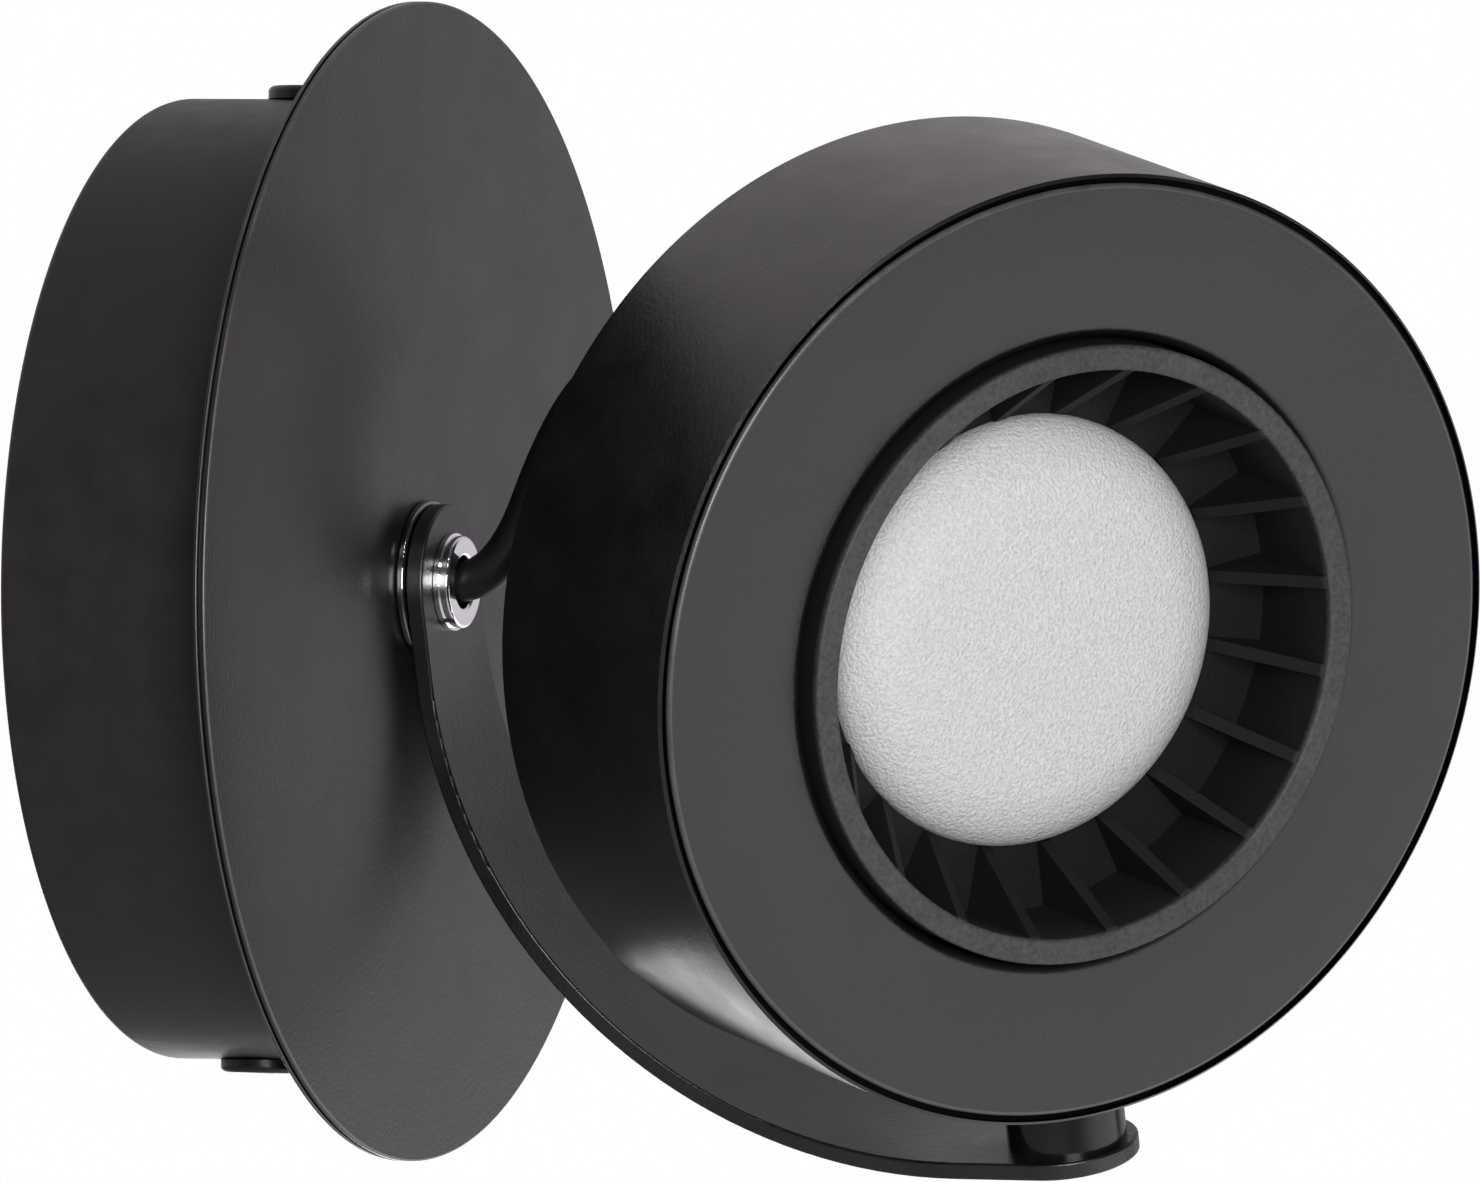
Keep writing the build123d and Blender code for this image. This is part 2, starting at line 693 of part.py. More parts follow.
# Arm: flat strap from the base's axis round to below the head
bend_radius = strap_drop - bend_start
bend_end = strap_back + bend_radius
bend_centre = (bend_end, bend_start)
strap_top = -strap_width / 2
strap_tip = post_reach + post_radius + strap_tip_margin
with BuildPart() as swing_arm:
    with BuildSketch(arm_section):
        with BuildLine():
            Line((strap_back, strap_top), (strap_back, bend_start))
            CenterArc(bend_centre, bend_radius, 180, -90)
            Polyline((bend_end, strap_drop), (strap_tip, strap_drop), (strap_tip, strap_inside),
                     (bend_end, strap_inside))
            CenterArc(bend_centre, bend_radius - strap_thickness, 90, 90)
            Polyline((strap_front, bend_start), (strap_front, strap_top), (strap_back, strap_top))
        make_face()
    extrude(amount=strap_width / 2, both=True)
    upper_corners = swing_arm.edges().filter_by(base_axis).group_by(arm_axis)[0]
    lower_corners = swing_arm.edges().filter_by(arm_axis).group_by(base_axis)[-1]
    fillet(upper_corners + lower_corners, radius=strap_width / 2 - strap_end_margin)
    bend_lines = swing_arm.edges().filter_by(Axis(origin, side)).group_by(SortBy.LENGTH)[-1]
    thickness_edges = swing_arm.edges().filter_by(GeomType.LINE).filter_by(
        lambda edge: abs(edge.length - strap_thickness) < strap_end_margin)
    fillet(swing_arm.edges() - bend_lines - thickness_edges, radius=strap_edge_round)
    with BuildSketch(wall_plane(strap_back)):
        Circle(bolt_radius + pivot_clearance)
    extrude(amount=strap_thickness, mode=Mode.SUBTRACT)
    with BuildSketch(post_plane(strap_inside)):
        Circle(spigot_radius + screw_clearance)
    extrude(amount=strap_thickness, mode=Mode.SUBTRACT)
finish(swing_arm, "swing_arm")

with BuildPart() as pivot_post:
    post_bore = head_screw_radius + screw_clearance
    with BuildSketch(post_section):
        with BuildLine():
            Polyline((post_bore, post_top), (post_radius, post_top), (post_radius, strap_inside),
                     (spigot_radius, strap_inside), (spigot_radius, strap_drop), (0, strap_drop),
                     (0, post_bore_end), (post_bore, post_bore_end), close=True)
        make_face()
    revolve(axis=post_axis)
finish(pivot_post, "pivot_post")

# Arm: screw into the post with its thrust and spring washers, inside the head
with BuildPart() as head_screw:
    seat = Plane(origin=out * post_reach + down * head_spring_top, x_dir=aim, z_dir=down * -1)
    add_screw(seat, head_screw_head_radius, head_screw_head_height, head_screw_radius,
              post_bore_end - head_screw_tip_gap - head_spring_top)
finish(head_screw, "head_screw")

with BuildPart() as thrust_washer:
    add_ring(post_plane(thrust_top), thrust_washer_radius, head_screw_radius + screw_clearance,
             thrust_washer_thickness)
finish(thrust_washer, "thrust_washer")

with BuildPart() as head_spring:
    add_cone_spring(post_section, post_axis, thrust_top, -1, head_spring_radius,
                    head_screw_radius + screw_clearance, head_spring_thickness, head_spring_height)
finish(head_spring, "head_spring")

# Arm: flex from the bolt's bore, up and over into the back of the head
flex_route = [
    out * bolt_end,
    *[arm_point(*bend) for bend in flex_bends],
    head_point(0, grommet_height, flex_lead_in),
    head_point(0, grommet_height, flex_end),
]
flex_radii = []
for before, corner, after in zip(flex_route, flex_route[1:], flex_route[2:]):
    half_turn = radians((corner - before).get_angle(after - corner)) / 2
    run = flex_run_share * min((corner - before).length, (after - corner).length)
    if before is flex_route[0]:
        run = flex_exit_run
    flex_radii.append(run / tan(half_turn))
with BuildPart() as flex:
    flex_length = add_tube(flex_route, flex_radii, flex_radius)
print("flex radii", [round(radius, 2) for radius in flex_radii], "length", round(flex_length, 1),
      "volume ratio", round(flex.part.volume / (pi * flex_radius ** 2 * flex_length), 4))
finish(flex, "flex")

# Head: drum with its mouth
with BuildPart() as head_shell:
    with BuildSketch(head_plane(head_rear)):
        Circle(head_radius)
    extrude(amount=head_depth)
    fillet(head_shell.edges().filter_by(GeomType.CIRCLE), radius=drum_edge_round)
    with BuildSketch(head_plane(head_rear)):
        Circle(head_bore)
    extrude(amount=head_depth - face_thickness, mode=Mode.SUBTRACT)
    with BuildSketch(head_plane(face_inside)):
        Circle(mouth_radius)
    extrude(amount=face_thickness, mode=Mode.SUBTRACT)
    add_groove(head_plane(head_front), head_radius - rim_width, rim_groove_width, -rim_groove_depth)
    face_edges = head_shell.edges().filter_by(GeomType.CIRCLE).group_by(head_axis)[-1].sort_by(SortBy.RADIUS)
    fillet(face_edges[0], radius=mouth_edge_round)
    fillet(face_edges[1], radius=disc_edge_round)
    with BuildSketch(post_plane(drum_bottom)):
        Circle(bush_radius + screw_clearance)
    extrude(amount=-2 * head_wall, mode=Mode.SUBTRACT)
finish(head_shell, "head_shell")

# Head: bush through the drum's wall, flat outside, and the saddle inside it
with BuildPart() as pivot_bush:
    with BuildSketch(post_plane(drum_inside)):
        Circle(bush_flange_radius)
    extrude(amount=bush_face - drum_inside)
    with BuildSketch(head_plane(head_rear)):
        Circle(head_radius)
    extrude(amount=head_depth, mode=Mode.SUBTRACT)
    with BuildSketch(post_plane(drum_inside)):
        Circle(bush_radius)
    extrude(amount=bush_face - drum_inside)
    with BuildSketch(post_plane(drum_inside)):
        Circle(head_screw_radius + pivot_clearance)
    extrude(amount=bush_face - drum_inside, mode=Mode.SUBTRACT)
finish(pivot_bush, "pivot_bush")

with BuildPart() as pivot_saddle:
    with BuildSketch(post_plane(saddle_top)):
        Circle(saddle_radius)
        Circle(head_screw_radius + pivot_clearance, mode=Mode.SUBTRACT)
    extrude(amount=saddle_height)
    with BuildSketch(head_plane(head_rear)):
        Circle(head_bore)
    extrude(amount=head_depth, mode=Mode.INTERSECT)
finish(pivot_saddle, "pivot_saddle")

# Head: back cover, standoffs and screws
standoff_places = polar(standoff_circle, standoff_count, standoff_start)
sink_screw_places = polar(heat_sink_screw_circle, heat_sink_screw_count, heat_sink_screw_start)


def back_seats(places):
    return [Plane(origin=head_point(right, up, cover_outside), x_dir=across, z_dir=aim * -1)
            for right, up in places]


with BuildPart() as back_cover:
    with BuildSketch(head_plane(cover_outside)):
        Circle(head_bore - cover_clearance)
        with Locations(*standoff_places, *sink_screw_places):
            Circle(cover_screw_radius + screw_clearance, mode=Mode.SUBTRACT)
        with Locations((0, grommet_height)):
            Circle(grommet_waist, mode=Mode.SUBTRACT)
    extrude(amount=cover_thickness)
finish(back_cover, "back_cover")

with BuildPart() as cover_standoffs:
    with BuildSketch(head_plane(cover_inside)):
        with Locations(*standoff_places):
            Circle(standoff_radius)
    extrude(amount=face_inside - cover_inside)
    with BuildSketch(head_plane(cover_inside)):
        with Locations(*standoff_places):
            Circle(cover_screw_radius + screw_clearance)
    extrude(amount=cover_screw_length - cover_thickness + tapped_spare, mode=Mode.SUBTRACT)
finish(cover_standoffs, "cover_standoffs")

with BuildPart() as cover_screws:
    for seat in back_seats(standoff_places):
        add_screw(seat, cover_screw_head_radius, cover_screw_head_height, cover_screw_radius,
                  cover_screw_length)
finish(cover_screws, "cover_screws")

with BuildPart() as flex_grommet:
    grommet_centre = head_point(0, grommet_height, 0)
    with BuildSketch(Plane(origin=grommet_centre, x_dir=across, z_dir=across.cross(aim))):
        with BuildLine():
            grommet_bore = flex_radius + flex_clearance
            Polyline((grommet_bore, grommet_outside), (grommet_radius, grommet_outside),
                     (grommet_radius, cover_outside), (grommet_waist, cover_outside),
                     (grommet_waist, cover_inside), (grommet_radius, cover_inside),
                     (grommet_radius, grommet_inside), (grommet_bore, grommet_inside), close=True)
        make_face()
    revolve(axis=Axis(grommet_centre, aim))
finish(flex_grommet, "flex_grommet")

with BuildPart() as head_tie:
    add_ring(Plane(origin=head_point(0, grommet_height, tie_back), x_dir=across, z_dir=aim),
             tie_radius, flex_radius + flex_clearance, tie_width)
finish(head_tie, "head_tie")

# Lamp module: ring, floor and ribs in one moulding
lead_row = board_front + lead_level
lead_hole_radius = lead_spread + lead_radius + lead_hole_play
rib_planes = []
for i in range(rib_count):
    turn = radians(360 * i / rib_count)
    radial = across * cos(turn) - down * sin(turn)
    rib_planes.append(Plane(origin=head_centre, x_dir=radial, z_dir=radial.cross(aim)))
with BuildPart() as module_body:
    with BuildSketch(head_plane(sink_front)):
        Circle(ring_radius)
        Circle(ring_bore, mode=Mode.SUBTRACT)
    extrude(amount=ring_front - sink_front)
    fillet(module_body.edges().filter_by(GeomType.CIRCLE).group_by(head_axis)[-1], radius=ring_edge_round)
    with BuildSketch(head_plane(floor_back)):
        Circle(ring_bore + ring_wall / 2)
        Circle(reflector_mouth, mode=Mode.SUBTRACT)
    extrude(amount=floor_thickness)
    with BuildSketch(*rib_planes):
        with BuildLine():
            rib_foot = diffuser_radius + rib_foot_gap
            rib_back = ring_bore + ring_wall / 2
            rib_top = ring_front - rib_set_back
            Polyline((rib_foot, floor_front - floor_thickness / 2), (rib_foot, floor_front + rib_foot_height),
                     (ring_bore, rib_top), (rib_back, rib_top), (rib_back, floor_front - floor_thickness / 2),
                     close=True)
        make_face()
    extrude(amount=rib_thickness / 2, both=True)
    with BuildSketch(head_plane(floor_front)):
        Circle(diffuser_radius + diffuser_clearance)
    extrude(amount=-diffuser_seat_depth, mode=Mode.SUBTRACT)
    with BuildSketch(Plane(origin=head_point(0, ring_radius, lead_row), x_dir=across, z_dir=down)):
        Circle(lead_hole_radius)
    extrude(amount=2 * ring_wall, mode=Mode.SUBTRACT)
finish(module_body, "module_body")

with BuildPart() as diffuser:
    seat_level = floor_front - diffuser_seat_depth
    rim_level = seat_level + diffuser_thickness
    crown = rim_level + diffuser_rise
    with BuildSketch(head_section):
        with BuildLine():
            TangentArc((0, crown), (diffuser_radius, rim_level), tangent=(1, 0))
            Polyline((diffuser_radius, rim_level), (diffuser_radius, seat_level),
                     (diffuser_radius - diffuser_thickness, seat_level))
            TangentArc((0, crown - diffuser_thickness), (diffuser_radius - diffuser_thickness, seat_level),
                       tangent=(1, 0))
            Line((0, crown - diffuser_thickness), (0, crown))
        make_face()
    revolve(axis=head_axis)
finish(diffuser, "diffuser")

# Light source: reflector, board with its chips and screws, heat sink with its screws, and the leads
with BuildPart() as reflector:
    with BuildSketch(head_section):
        with BuildLine():
            Polyline((reflector_foot_radius, board_front), (reflector_heel, board_front),
                     (reflector_mouth + reflector_wall, floor_back), (reflector_mouth, floor_back),
                     close=True)
        make_face()
    revolve(axis=head_axis)
finish(reflector, "reflector")

board_screw_places = polar(board_screw_circle, 2, 0)
with BuildPart() as led_board:
    with BuildSketch(head_plane(sink_front)):
        Circle(board_radius)
        with Locations(*board_screw_places):
            Circle(board_screw_radius + screw_clearance, mode=Mode.SUBTRACT)
    extrude(amount=board_thickness)
finish(led_board, "led_board")

with BuildPart() as led_chips:
    with BuildSketch(head_plane(board_front)):
        with PolarLocations(outer_chip_circle, outer_chip_count):
            Rectangle(chip_length, chip_width)
        with PolarLocations(inner_chip_circle, inner_chip_count):
            Rectangle(chip_length, chip_width)
    extrude(amount=chip_height)
finish(led_chips, "led_chips")

with BuildPart() as board_screws:
    for right, up in board_screw_places:
        seat = Plane(origin=head_point(right, up, board_front), x_dir=across, z_dir=aim)
        add_screw(seat, board_screw_head_radius, board_screw_head_height, board_screw_radius,
                  board_screw_length)
finish(board_screws, "board_screws")

with BuildPart() as heat_sink:
    with BuildSketch(head_plane(cover_inside)):
        Circle(ring_radius)
    extrude(amount=heat_sink_thickness)
    with BuildSketch(head_plane(sink_front)):
        Circle(ring_bore - screw_clearance)
        Circle(ring_bore - heat_sink_step_width, mode=Mode.SUBTRACT)
    extrude(amount=heat_sink_step_height)
    with BuildSketch(head_plane(sink_front)):
        with Locations(*board_screw_places):
            Circle(board_screw_radius + screw_clearance)
    extrude(amount=board_thickness - board_screw_length - tapped_spare, mode=Mode.SUBTRACT)
    with BuildSketch(head_plane(cover_inside)):
        with Locations(*sink_screw_places):
            Circle(cover_screw_radius + screw_clearance)
    extrude(amount=heat_sink_screw_length - cover_thickness + tapped_spare, mode=Mode.SUBTRACT)
finish(heat_sink, "heat_sink")

with BuildPart() as heat_sink_screws:
    for seat in back_seats(sink_screw_places):
        add_screw(seat, cover_screw_head_radius, cover_screw_head_height, cover_screw_radius,
                  heat_sink_screw_length)
finish(heat_sink_screws, "heat_sink_screws")

with BuildPart() as module_leads:
    for right in (-lead_spread, lead_spread):
        corners = [head_point(right, grommet_height, flex_end), head_point(right, grommet_height, lead_row),
                   head_point(right, lead_landing, lead_row), head_point(right, lead_landing, board_front)]
        add_tube(corners, lead_bend_radius, lead_radius)
finish(module_leads, "module_leads")
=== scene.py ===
import math

import bmesh
import bpy
from mathutils import Matrix, Vector


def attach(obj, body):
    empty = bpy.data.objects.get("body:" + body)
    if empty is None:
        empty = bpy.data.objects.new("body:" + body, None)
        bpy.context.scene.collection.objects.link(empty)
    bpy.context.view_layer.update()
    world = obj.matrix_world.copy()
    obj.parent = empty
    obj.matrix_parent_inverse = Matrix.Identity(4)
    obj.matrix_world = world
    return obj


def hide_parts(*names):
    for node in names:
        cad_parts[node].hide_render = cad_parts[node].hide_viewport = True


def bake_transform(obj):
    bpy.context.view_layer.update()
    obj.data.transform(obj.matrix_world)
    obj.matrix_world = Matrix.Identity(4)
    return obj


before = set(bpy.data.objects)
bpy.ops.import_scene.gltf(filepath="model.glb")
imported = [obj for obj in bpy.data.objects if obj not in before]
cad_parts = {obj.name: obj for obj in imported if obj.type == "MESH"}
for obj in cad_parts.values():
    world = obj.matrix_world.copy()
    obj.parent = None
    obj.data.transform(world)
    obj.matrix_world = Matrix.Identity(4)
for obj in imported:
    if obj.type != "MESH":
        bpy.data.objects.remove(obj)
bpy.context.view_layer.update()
print("frame loaded,", len(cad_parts), "nodes")

mm = 0.001

# the lamp's own directions, as the arm and the head are swung, in millimetres and degrees
pose = {"armRoll": 20.7, "headTurn": 38.0, "postReach": 70.5, "headDrop": 3.2}
out = Vector((0, -1, 0))
down = Vector((math.sin(math.radians(pose["armRoll"])), 0, -math.cos(math.radians(pose["armRoll"]))))
side = down.cross(out)
aim = out * math.cos(math.radians(pose["headTurn"])) + side * math.sin(math.radians(pose["headTurn"]))
across = aim.cross(down)
headCentre = out * pose["postReach"] + down * pose["headDrop"]


def armPoint(reach, drop, aside):
    return (out * reach + down * drop + side * aside) * mm


def headPoint(right, up, forward):
    return (headCentre + across * right - down * up + aim * forward) * mm


# camera: far away with a long lens, as the photograph's nearly parallel view
photoCamera = {
    "location": (-1.78056, -0.73344, -0.050135),
    "right": (0.35872, -0.93318, 0.02237),
    "up": (-0.03233, 0.01153, 0.99941),
    "lens": 583.8,
    "sensor": 36.0,
    "clip": (0.05, 50.0),
}
cameraData = bpy.data.cameras.new("photoCamera")
cameraData.lens = photoCamera["lens"]
cameraData.sensor_width = photoCamera["sensor"]
cameraData.sensor_fit = "HORIZONTAL"
cameraData.clip_start, cameraData.clip_end = photoCamera["clip"]
camera = bpy.data.objects.new("photoCamera", cameraData)
bpy.context.scene.collection.objects.link(camera)
right = Vector(photoCamera["right"]).normalized()
up = Vector(photoCamera["up"])
up = (up - right * up.dot(right)).normalized()
back = right.cross(up)
turn = Matrix((right, up, back)).transposed().to_4x4()
camera.matrix_world = Matrix.Translation(photoCamera["location"]) @ turn
bpy.context.scene.camera = camera
bpy.context.scene.view_settings.view_transform = "Standard"
print("camera set")


def nodeTree(owner):    # empty node tree of a material or the world
    owner.use_nodes = True
    tree = owner.node_tree
    tree.nodes.clear()
    return tree


def addNode(tree, kind, **settings):
    node = tree.nodes.new(kind)
    for name, value in settings.items():
        if name in node.inputs:
            node.inputs[name].default_value = value
        else:
            setattr(node, name, value)
    return node


recipe = {
    "cloudDetail": 4.0, "cloudRough": 0.6,
    "grainDetail": 3.0, "grainRough": 0.55,
    "toneStops": (0.35, 0.65),    # where the noise turns dark and light
    "glossStops": (0.3, 0.7),
    "speckle": 0.25,              # share of grain in the colour
    "depth": 0.00003,
    "specular": 0.5,
    "tint": (1, 1, 1, 1),
}


# one recipe for the solid finishes: cloudy colour, uneven gloss and a fine grain
def makeFinish(name, look):
    material = bpy.data.materials.new(name)
    tree = nodeTree(material)
    link = tree.links.new
    place = addNode(tree, "ShaderNodeTexCoord")
    cloud = addNode(tree, "ShaderNodeTexNoise", Scale=look["cloud"], Detail=recipe["cloudDetail"],
                    Roughness=recipe["cloudRough"])
    grain = addNode(tree, "ShaderNodeTexNoise", Scale=look["grain"], Detail=recipe["grainDetail"],
                    Roughness=recipe["grainRough"])
    link(place.outputs["Object"], cloud.inputs["Vector"])
    link(place.outputs["Object"], grain.inputs["Vector"])
    blendIn = addNode(tree, "ShaderNodeMix", data_type="FLOAT")
    blendIn.inputs[0].default_value = look.get("speckle", recipe["speckle"])
    link(cloud.outputs["Fac"], blendIn.inputs[2])
    link(grain.outputs["Fac"], blendIn.inputs[3])
    ramp = addNode(tree, "ShaderNodeValToRGB")
    for stop, position, tone in zip(ramp.color_ramp.elements, recipe["toneStops"], (look["dark"], look["light"])):
        stop.position = position
        stop.color = (*tone, 1)
    link(blendIn.outputs[0], ramp.inputs["Fac"])
    gloss = addNode(tree, "ShaderNodeMapRange")
    gloss.inputs["From Min"].default_value, gloss.inputs["From Max"].default_value = recipe["glossStops"]
    gloss.inputs["To Min"].default_value, gloss.inputs["To Max"].default_value = look["rough"]
    link(cloud.outputs["Fac"], gloss.inputs["Value"])
    bump = addNode(tree, "ShaderNodeBump", Strength=look["bump"], Distance=look.get("depth", recipe["depth"]))
    link(grain.outputs["Fac"], bump.inputs["Height"])
    shader = addNode(tree, "ShaderNodeBsdfPrincipled")
    shader.inputs["Metallic"].default_value = look.get("metal", 0.0)
    shader.inputs["Specular IOR Level"].default_value = look.get("specular", recipe["specular"])
    shader.inputs["Specular Tint"].default_value = look.get("tint", recipe["tint"])
    colour, roughness = ramp.outputs["Color"], gloss.outputs["Result"]
    # painted shade: below the front the plastic is painted darker, standing in for the shade deep in the dish
    if "recess" in look:    # dull and darker below the front, measured along the lamp's aim
        depth = addNode(tree, "ShaderNodeVectorMath", operation="DOT_PRODUCT")
        depth.inputs[1].default_value = aim
        front = addNode(tree, "ShaderNodeMapRange")
        for bound, level in zip(("From Min", "From Max"), look["recess"]):
            front.inputs[bound].default_value = (headCentre.dot(aim) + level) * mm
        link(place.outputs["Object"], depth.inputs[0])
        link(depth.outputs["Value"], front.inputs["Value"])
        shade = addNode(tree, "ShaderNodeMix", data_type="RGBA")
        shade.inputs[6].default_value = (*look["recessTone"], 1)
        link(front.outputs["Result"], shade.inputs[0])
        link(colour, shade.inputs[7])
        dull = addNode(tree, "ShaderNodeMix", data_type="FLOAT")
        dull.inputs[2].default_value = look["recessRough"]
        link(front.outputs["Result"], dull.inputs[0])
        link(roughness, dull.inputs[3])
        colour, roughness = shade.outputs[2], dull.outputs[0]
    link(colour, shader.inputs["Base Color"])
    link(roughness, shader.inputs["Roughness"])
    link(bump.outputs["Normal"], shader.inputs["Normal"])
    output = addNode(tree, "ShaderNodeOutputMaterial")
    link(shader.outputs["BSDF"], output.inputs["Surface"])
    return material


# the coat's black leans a little to violet
violetLean = 0.9
coatTint = (1.0, 0.93, 1.0, 1.0)


def grey(value):
    return (value, value * violetLean, value)


finishes = {
    "blackCoat": dict(cloud=160, grain=2600, dark=grey(0.004), light=grey(0.009), rough=(0.29, 0.38), bump=0.6,
                      depth=0.00005, specular=0.75, tint=coatTint),
    # painted highlight: a lighter coat for rounded edges, standing in for the light lines they catch
    "paintedEdgeHighlight": dict(cloud=260, grain=2600, dark=grey(0.05), light=grey(0.09), rough=(0.3, 0.4), bump=0.3,
                      specular=0.75),
    "gapShade": dict(cloud=260, grain=2600, dark=grey(0.001), light=grey(0.002), rough=(0.6, 0.7), bump=0.1,
                     specular=0.05),
    "cupCoat": dict(cloud=240, grain=2600, dark=grey(0.011), light=grey(0.017), rough=(0.46, 0.54), bump=0.4,
                    depth=0.00005, specular=0.4, tint=coatTint),
    "blackScrew": dict(cloud=300, grain=5000, dark=grey(0.006), light=grey(0.01), rough=(0.3, 0.4), bump=0.1),
    "blackGloss": dict(cloud=200, grain=4000, dark=grey(0.006), light=grey(0.01), rough=(0.12, 0.2), bump=0.05),
    "blackNickel": dict(cloud=250, grain=2500, dark=(0.2, 0.195, 0.2), light=(0.3, 0.29, 0.3), rough=(0.06, 0.1),
                        bump=0.03, metal=1.0),
    "chromePlate": dict(cloud=250, grain=2500, dark=(0.88, 0.88, 0.89), light=(0.96, 0.96, 0.97), rough=(0.04, 0.08),
                        bump=0.03, metal=1.0),
    "zincPlate": dict(cloud=180, grain=1500, dark=(0.42, 0.42, 0.41), light=(0.6, 0.6, 0.58), rough=(0.3, 0.45),
                      bump=0.15, metal=1.0),
    "clampBrass": dict(cloud=220, grain=1800, dark=(0.55, 0.4, 0.16), light=(0.72, 0.56, 0.26), rough=(0.25, 0.4),
                       bump=0.1, metal=1.0),
    "blockNylon": dict(cloud=120, grain=2400, dark=(0.68, 0.68, 0.65), light=(0.78, 0.78, 0.75), rough=(0.4, 0.5),
                       bump=0.1),
    "driverShell": dict(cloud=120, grain=2600, dark=(0.7, 0.7, 0.69), light=(0.8, 0.8, 0.79), rough=(0.4, 0.5),
                        bump=0.2),
    "padFoam": dict(cloud=150, grain=1600, dark=(0.05, 0.05, 0.05), light=(0.12, 0.12, 0.12), rough=(0.85, 0.95),
                    bump=0.8, depth=0.0001),
    "boardGreen": dict(cloud=140, grain=1200, dark=(0.02, 0.12, 0.04), light=(0.04, 0.22, 0.08), rough=(0.3, 0.4),
                       bump=0.1),
    "componentCase": dict(cloud=200, grain=2200, dark=(0.03, 0.03, 0.03), light=(0.07, 0.07, 0.07), rough=(0.4, 0.5),
                          bump=0.2),
    "leadBrown": dict(cloud=200, grain=2600, dark=(0.16, 0.06, 0.025), light=(0.26, 0.11, 0.05), rough=(0.35, 0.45),
                      bump=0.1),
    "flexSheath": dict(cloud=260, grain=3000, dark=grey(0.006), light=grey(0.011), rough=(0.42, 0.5), bump=0.15,
                       specular=0.25),
    "grommetRubber": dict(cloud=220, grain=2800, dark=grey(0.012), light=grey(0.022), rough=(0.55, 0.65), bump=0.25),
    "tieNylon": dict(cloud=200, grain=2600, dark=(0.62, 0.62, 0.58), light=(0.74, 0.74, 0.7), rough=(0.4, 0.5),
                     bump=0.1),
    # the module plastic's darker tone below the front is painted shade in the dish
    "modulePlastic": dict(cloud=300, grain=2600, dark=(0.042, 0.04, 0.043), light=(0.086, 0.0815, 0.088),
                          rough=(0.5, 0.6), bump=1.0, depth=0.00006, specular=0.3, speckle=0.65,
                          recess=(10.2, 10.9), recessRough=0.7, recessTone=grey(0.006)),
    "diffuserFrost": dict(cloud=500, grain=3600, dark=(0.64, 0.625, 0.64), light=(0.8, 0.785, 0.8), rough=(0.25, 0.35),
                          bump=1.0, depth=0.0002, speckle=0.95, specular=0.5),
    "reflectorWhite": dict(cloud=100, grain=2400, dark=(0.78, 0.78, 0.78), light=(0.86, 0.86, 0.86),
                           rough=(0.2, 0.3), bump=0.05),
    "ledMask": dict(cloud=140, grain=2000, dark=(0.76, 0.76, 0.76), light=(0.84, 0.84, 0.84), rough=(0.35, 0.45),
                    bump=0.1),
    "ledPhosphor": dict(cloud=300, grain=2600, dark=(0.7, 0.52, 0.08), light=(0.82, 0.66, 0.16), rough=(0.45, 0.55),
                        bump=0.2),
    "sinkAluminium": dict(cloud=160, grain=1400, dark=(0.55, 0.55, 0.56), light=(0.7, 0.7, 0.71), rough=(0.3, 0.42),
                          bump=0.15, metal=1.0),
}
materials = {name: makeFinish(name, look) for name, look in finishes.items()}


# earth lead: green sheath with yellow stripes along it
earthStripe = {"scale": 160.0, "wander": 1.5, "greenShare": 0.6, "rough": 0.4, "green": (0.03, 0.22, 0.04, 1),
               "yellow": (0.75, 0.6, 0.03, 1)}


def makeEarthStripe():
    material = bpy.data.materials.new("earthStripe")
    tree = nodeTree(material)
    link = tree.links.new
    place = addNode(tree, "ShaderNodeTexCoord")
    wave = addNode(tree, "ShaderNodeTexWave", bands_direction="Z", Scale=earthStripe["scale"],
                   Distortion=earthStripe["wander"])
    link(place.outputs["Object"], wave.inputs["Vector"])
    ramp = addNode(tree, "ShaderNodeValToRGB")
    ramp.color_ramp.interpolation = "CONSTANT"
    ramp.color_ramp.elements[1].position = earthStripe["greenShare"]
    ramp.color_ramp.elements[0].color = earthStripe["green"]
    ramp.color_ramp.elements[1].color = earthStripe["yellow"]
    link(wave.outputs["Fac"], ramp.inputs["Fac"])
    shader = addNode(tree, "ShaderNodeBsdfPrincipled", Roughness=earthStripe["rough"])
    link(ramp.outputs["Color"], shader.inputs["Base Color"])
    output = addNode(tree, "ShaderNodeOutputMaterial")
    link(shader.outputs["BSDF"], output.inputs["Surface"])
    return material


materials["earthStripe"] = makeEarthStripe()
print("finishes made,", len(materials))

# which finish each carried-over piece wears
wears = {
    "blackCoat": ["front_plate", "swing_arm", "head_shell", "back_cover"],
    "cupCoat": ["base_cup"],
    "blackScrew": ["cup_screws", "cover_screws", "heat_sink_screws"],
    "blackGloss": ["pivot_post", "pivot_bush"],
    "blackNickel": ["pivot_spacer"],
    "chromePlate": ["pivot_bolt", "pivot_washer"],
    "zincPlate": ["wall_bracket", "spring_washer", "lock_nut", "jam_nut", "block_screw", "earth_washer", "earth_screw",
                  "terminal_screws", "head_screw", "thrust_washer", "head_spring", "pivot_saddle", "cover_standoffs",
                  "board_screws"],
    "clampBrass": ["terminal_clamps"],
    "blockNylon": ["terminal_block"],
    "driverShell": ["driver_case", "driver_cover"],
    "padFoam": ["driver_pad"],
    "boardGreen": ["driver_board"],
    "componentCase": ["driver_parts"],
    "leadBrown": ["mains_leads", "module_leads"],
    "earthStripe": ["earth_lead"],
    "flexSheath": ["flex", "flex_tail"],
    "grommetRubber": ["flex_grommet"],
    "tieNylon": ["base_tie", "head_tie"],
    "modulePlastic": ["module_body"],
    "diffuserFrost": ["diffuser"],
    "reflectorWhite": ["reflector"],
    "ledMask": ["led_board"],
    "ledPhosphor": ["led_chips"],
    "sinkAluminium": ["heat_sink"],
}
